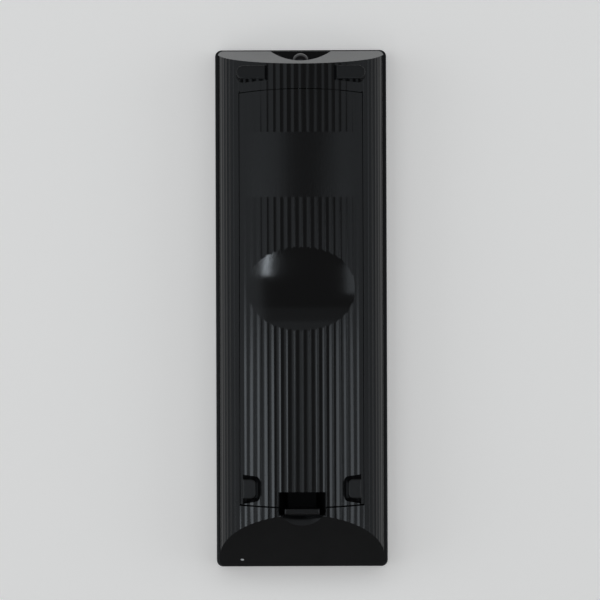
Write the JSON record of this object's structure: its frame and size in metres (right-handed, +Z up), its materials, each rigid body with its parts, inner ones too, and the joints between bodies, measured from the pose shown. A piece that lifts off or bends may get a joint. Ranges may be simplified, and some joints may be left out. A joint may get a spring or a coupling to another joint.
{
  "type": "remote control",
  "caption": "Slim black remote control lying face down: fluted arched back with a long battery door, finger dish, sprung latch, feet, infrared recess and pressable keys under it.",
  "frame": {"origin": "on the table under the middle of the handset, which lies face down on the rim of its front case", "axes": "+Y points to the infrared end, +Z up out of the fluted back, +X to the right seen from above the back"},
  "size_m": [0.048, 0.1448, 0.0255],
  "materials": {
    "case_plastic": "satin moulded black ABS",
    "door_plastic": "satin moulded black ABS",
    "key_plastic": "satin moulded dark grey",
    "key_red": "satin moulded red",
    "key_green": "satin moulded green",
    "key_yellow": "satin moulded yellow",
    "key_blue": "satin moulded blue",
    "mat_rubber": "moulded silicone",
    "board_resin": "solder mask over laminate",
    "chip_plastic": "moulded epoxy",
    "resonator_coat": "dipped coat",
    "capacitor_sleeve": "shrunk sleeve",
    "emitter_lens": "clear tinted epoxy",
    "tinned_wire": "tinned",
    "plated_steel": "nickel plated",
    "cell_sleeve": "printed film",
    "cell_steel": "nickel plated"
  },
  "bodies": {
    "root": {"front_case": "case_plastic", "rear_case": "case_plastic", "battery_bay": "case_plastic", "bay_walls": "case_plastic", "keypad_mat": "mat_rubber", "circuit_board": "board_resin", "control_chip": "chip_plastic", "resistor_set": "chip_plastic", "resonator": "resonator_coat", "capacitor": "capacitor_sleeve", "driver_transistor": "chip_plastic", "ir_emitter": "emitter_lens", "ir_emitter_leads": "tinned_wire", "case_screws": "plated_steel", "lower_cell": "cell_sleeve", "lower_cell_cap": "cell_steel", "upper_cell": "cell_sleeve", "upper_cell_cap": "cell_steel", "battery_spring": "plated_steel", "spring_plate": "plated_steel", "contact_plate": "plated_steel"},
    "door": {"battery_door": "door_plastic"},
    "latch": {"door_latch": "door_plastic"},
    "eject": {"eject_key": "key_plastic"},
    "power": {"power_key": "key_plastic"},
    "digit_1": {"digit_1_key": "key_plastic"},
    "digit_2": {"digit_2_key": "key_plastic"},
    "digit_3": {"digit_3_key": "key_plastic"},
    "digit_4": {"digit_4_key": "key_plastic"},
    "digit_5": {"digit_5_key": "key_plastic"},
    "digit_6": {"digit_6_key": "key_plastic"},
    "digit_7": {"digit_7_key": "key_plastic"},
    "digit_8": {"digit_8_key": "key_plastic"},
    "digit_9": {"digit_9_key": "key_plastic"},
    "digit_0": {"digit_0_key": "key_plastic"},
    "red": {"red_key": "key_red"},
    "green": {"green_key": "key_green"},
    "yellow": {"yellow_key": "key_yellow"},
    "blue": {"blue_key": "key_blue"},
    "top_menu": {"top_menu_key": "key_plastic"},
    "popup_menu": {"popup_menu_key": "key_plastic"},
    "ok": {"ok_key": "key_plastic"},
    "up": {"up_key": "key_plastic"},
    "down": {"down_key": "key_plastic"},
    "left": {"left_key": "key_plastic"},
    "right": {"right_key": "key_plastic"},
    "return": {"return_key": "key_plastic"},
    "options": {"options_key": "key_plastic"},
    "home": {"home_key": "key_plastic"},
    "rewind": {"rewind_key": "key_plastic"},
    "play": {"play_key": "key_plastic"},
    "forward": {"forward_key": "key_plastic"},
    "previous": {"previous_key": "key_plastic"},
    "pause": {"pause_key": "key_plastic"},
    "next": {"next_key": "key_plastic"},
    "stop": {"stop_key": "key_plastic"}
  },
  "joints": [
    {"name": "door_swing", "type": "hinge", "parent": "root", "child": "door", "pos_m": [0, 0.06153, 0.025], "axis": [-1, 0, 0], "range_deg": [0, 60]},
    {"name": "latch_flex", "type": "hinge", "parent": "door", "child": "latch", "pos_m": [0, -0.05658, 0.0149], "axis": [-1, 0, 0], "range_deg": [0, 8], "stiffness_Nm_per_rad": 0.35, "springref_deg": -1.72},
    {"name": "eject_press", "type": "slide", "parent": "root", "child": "eject", "axis": [0, 0, 1], "range_m": [0, 0.0008], "stiffness_N_per_m": 600, "springref_m": -0.0008},
    {"name": "power_press", "type": "slide", "parent": "root", "child": "power", "axis": [0, 0, 1], "range_m": [0, 0.0008], "stiffness_N_per_m": 600, "springref_m": -0.0008},
    {"name": "digit_1_press", "type": "slide", "parent": "root", "child": "digit_1", "axis": [0, 0, 1], "range_m": [0, 0.0008], "stiffness_N_per_m": 600, "springref_m": -0.0008},
    {"name": "digit_2_press", "type": "slide", "parent": "root", "child": "digit_2", "axis": [0, 0, 1], "range_m": [0, 0.0008], "stiffness_N_per_m": 600, "springref_m": -0.0008},
    {"name": "digit_3_press", "type": "slide", "parent": "root", "child": "digit_3", "axis": [0, 0, 1], "range_m": [0, 0.0008], "stiffness_N_per_m": 600, "springref_m": -0.0008},
    {"name": "digit_4_press", "type": "slide", "parent": "root", "child": "digit_4", "axis": [0, 0, 1], "range_m": [0, 0.0008], "stiffness_N_per_m": 600, "springref_m": -0.0008},
    {"name": "digit_5_press", "type": "slide", "parent": "root", "child": "digit_5", "axis": [0, 0, 1], "range_m": [0, 0.0008], "stiffness_N_per_m": 600, "springref_m": -0.0008},
    {"name": "digit_6_press", "type": "slide", "parent": "root", "child": "digit_6", "axis": [0, 0, 1], "range_m": [0, 0.0008], "stiffness_N_per_m": 600, "springref_m": -0.0008},
    {"name": "digit_7_press", "type": "slide", "parent": "root", "child": "digit_7", "axis": [0, 0, 1], "range_m": [0, 0.0008], "stiffness_N_per_m": 600, "springref_m": -0.0008},
    {"name": "digit_8_press", "type": "slide", "parent": "root", "child": "digit_8", "axis": [0, 0, 1], "range_m": [0, 0.0008], "stiffness_N_per_m": 600, "springref_m": -0.0008},
    {"name": "digit_9_press", "type": "slide", "parent": "root", "child": "digit_9", "axis": [0, 0, 1], "range_m": [0, 0.0008], "stiffness_N_per_m": 600, "springref_m": -0.0008},
    {"name": "digit_0_press", "type": "slide", "parent": "root", "child": "digit_0", "axis": [0, 0, 1], "range_m": [0, 0.0008], "stiffness_N_per_m": 600, "springref_m": -0.0008},
    {"name": "red_press", "type": "slide", "parent": "root", "child": "red", "axis": [0, 0, 1], "range_m": [0, 0.0008], "stiffness_N_per_m": 600, "springref_m": -0.0008},
    {"name": "green_press", "type": "slide", "parent": "root", "child": "green", "axis": [0, 0, 1], "range_m": [0, 0.0008], "stiffness_N_per_m": 600, "springref_m": -0.0008},
    {"name": "yellow_press", "type": "slide", "parent": "root", "child": "yellow", "axis": [0, 0, 1], "range_m": [0, 0.0008], "stiffness_N_per_m": 600, "springref_m": -0.0008},
    {"name": "blue_press", "type": "slide", "parent": "root", "child": "blue", "axis": [0, 0, 1], "range_m": [0, 0.0008], "stiffness_N_per_m": 600, "springref_m": -0.0008},
    {"name": "top_menu_press", "type": "slide", "parent": "root", "child": "top_menu", "axis": [0, 0, 1], "range_m": [0, 0.0008], "stiffness_N_per_m": 600, "springref_m": -0.0008},
    {"name": "popup_menu_press", "type": "slide", "parent": "root", "child": "popup_menu", "axis": [0, 0, 1], "range_m": [0, 0.0008], "stiffness_N_per_m": 600, "springref_m": -0.0008},
    {"name": "ok_press", "type": "slide", "parent": "root", "child": "ok", "axis": [0, 0, 1], "range_m": [0, 0.0008], "stiffness_N_per_m": 600, "springref_m": -0.0008},
    {"name": "up_press", "type": "slide", "parent": "root", "child": "up", "axis": [0, 0, 1], "range_m": [0, 0.0008], "stiffness_N_per_m": 600, "springref_m": -0.0008},
    {"name": "down_press", "type": "slide", "parent": "root", "child": "down", "axis": [0, 0, 1], "range_m": [0, 0.0008], "stiffness_N_per_m": 600, "springref_m": -0.0008},
    {"name": "left_press", "type": "slide", "parent": "root", "child": "left", "axis": [0, 0, 1], "range_m": [0, 0.0008], "stiffness_N_per_m": 600, "springref_m": -0.0008},
    {"name": "right_press", "type": "slide", "parent": "root", "child": "right", "axis": [0, 0, 1], "range_m": [0, 0.0008], "stiffness_N_per_m": 600, "springref_m": -0.0008},
    {"name": "return_press", "type": "slide", "parent": "root", "child": "return", "axis": [0, 0, 1], "range_m": [0, 0.0008], "stiffness_N_per_m": 600, "springref_m": -0.0008},
    {"name": "options_press", "type": "slide", "parent": "root", "child": "options", "axis": [0, 0, 1], "range_m": [0, 0.0008], "stiffness_N_per_m": 600, "springref_m": -0.0008},
    {"name": "home_press", "type": "slide", "parent": "root", "child": "home", "axis": [0, 0, 1], "range_m": [0, 0.0008], "stiffness_N_per_m": 600, "springref_m": -0.0008},
    {"name": "rewind_press", "type": "slide", "parent": "root", "child": "rewind", "axis": [0, 0, 1], "range_m": [0, 0.0008], "stiffness_N_per_m": 600, "springref_m": -0.0008},
    {"name": "play_press", "type": "slide", "parent": "root", "child": "play", "axis": [0, 0, 1], "range_m": [0, 0.0008], "stiffness_N_per_m": 600, "springref_m": -0.0008},
    {"name": "forward_press", "type": "slide", "parent": "root", "child": "forward", "axis": [0, 0, 1], "range_m": [0, 0.0008], "stiffness_N_per_m": 600, "springref_m": -0.0008},
    {"name": "previous_press", "type": "slide", "parent": "root", "child": "previous", "axis": [0, 0, 1], "range_m": [0, 0.0008], "stiffness_N_per_m": 600, "springref_m": -0.0008},
    {"name": "pause_press", "type": "slide", "parent": "root", "child": "pause", "axis": [0, 0, 1], "range_m": [0, 0.0008], "stiffness_N_per_m": 600, "springref_m": -0.0008},
    {"name": "next_press", "type": "slide", "parent": "root", "child": "next", "axis": [0, 0, 1], "range_m": [0, 0.0008], "stiffness_N_per_m": 600, "springref_m": -0.0008},
    {"name": "stop_press", "type": "slide", "parent": "root", "child": "stop", "axis": [0, 0, 1], "range_m": [0, 0.0008], "stiffness_N_per_m": 600, "springref_m": -0.0008}
  ]
}
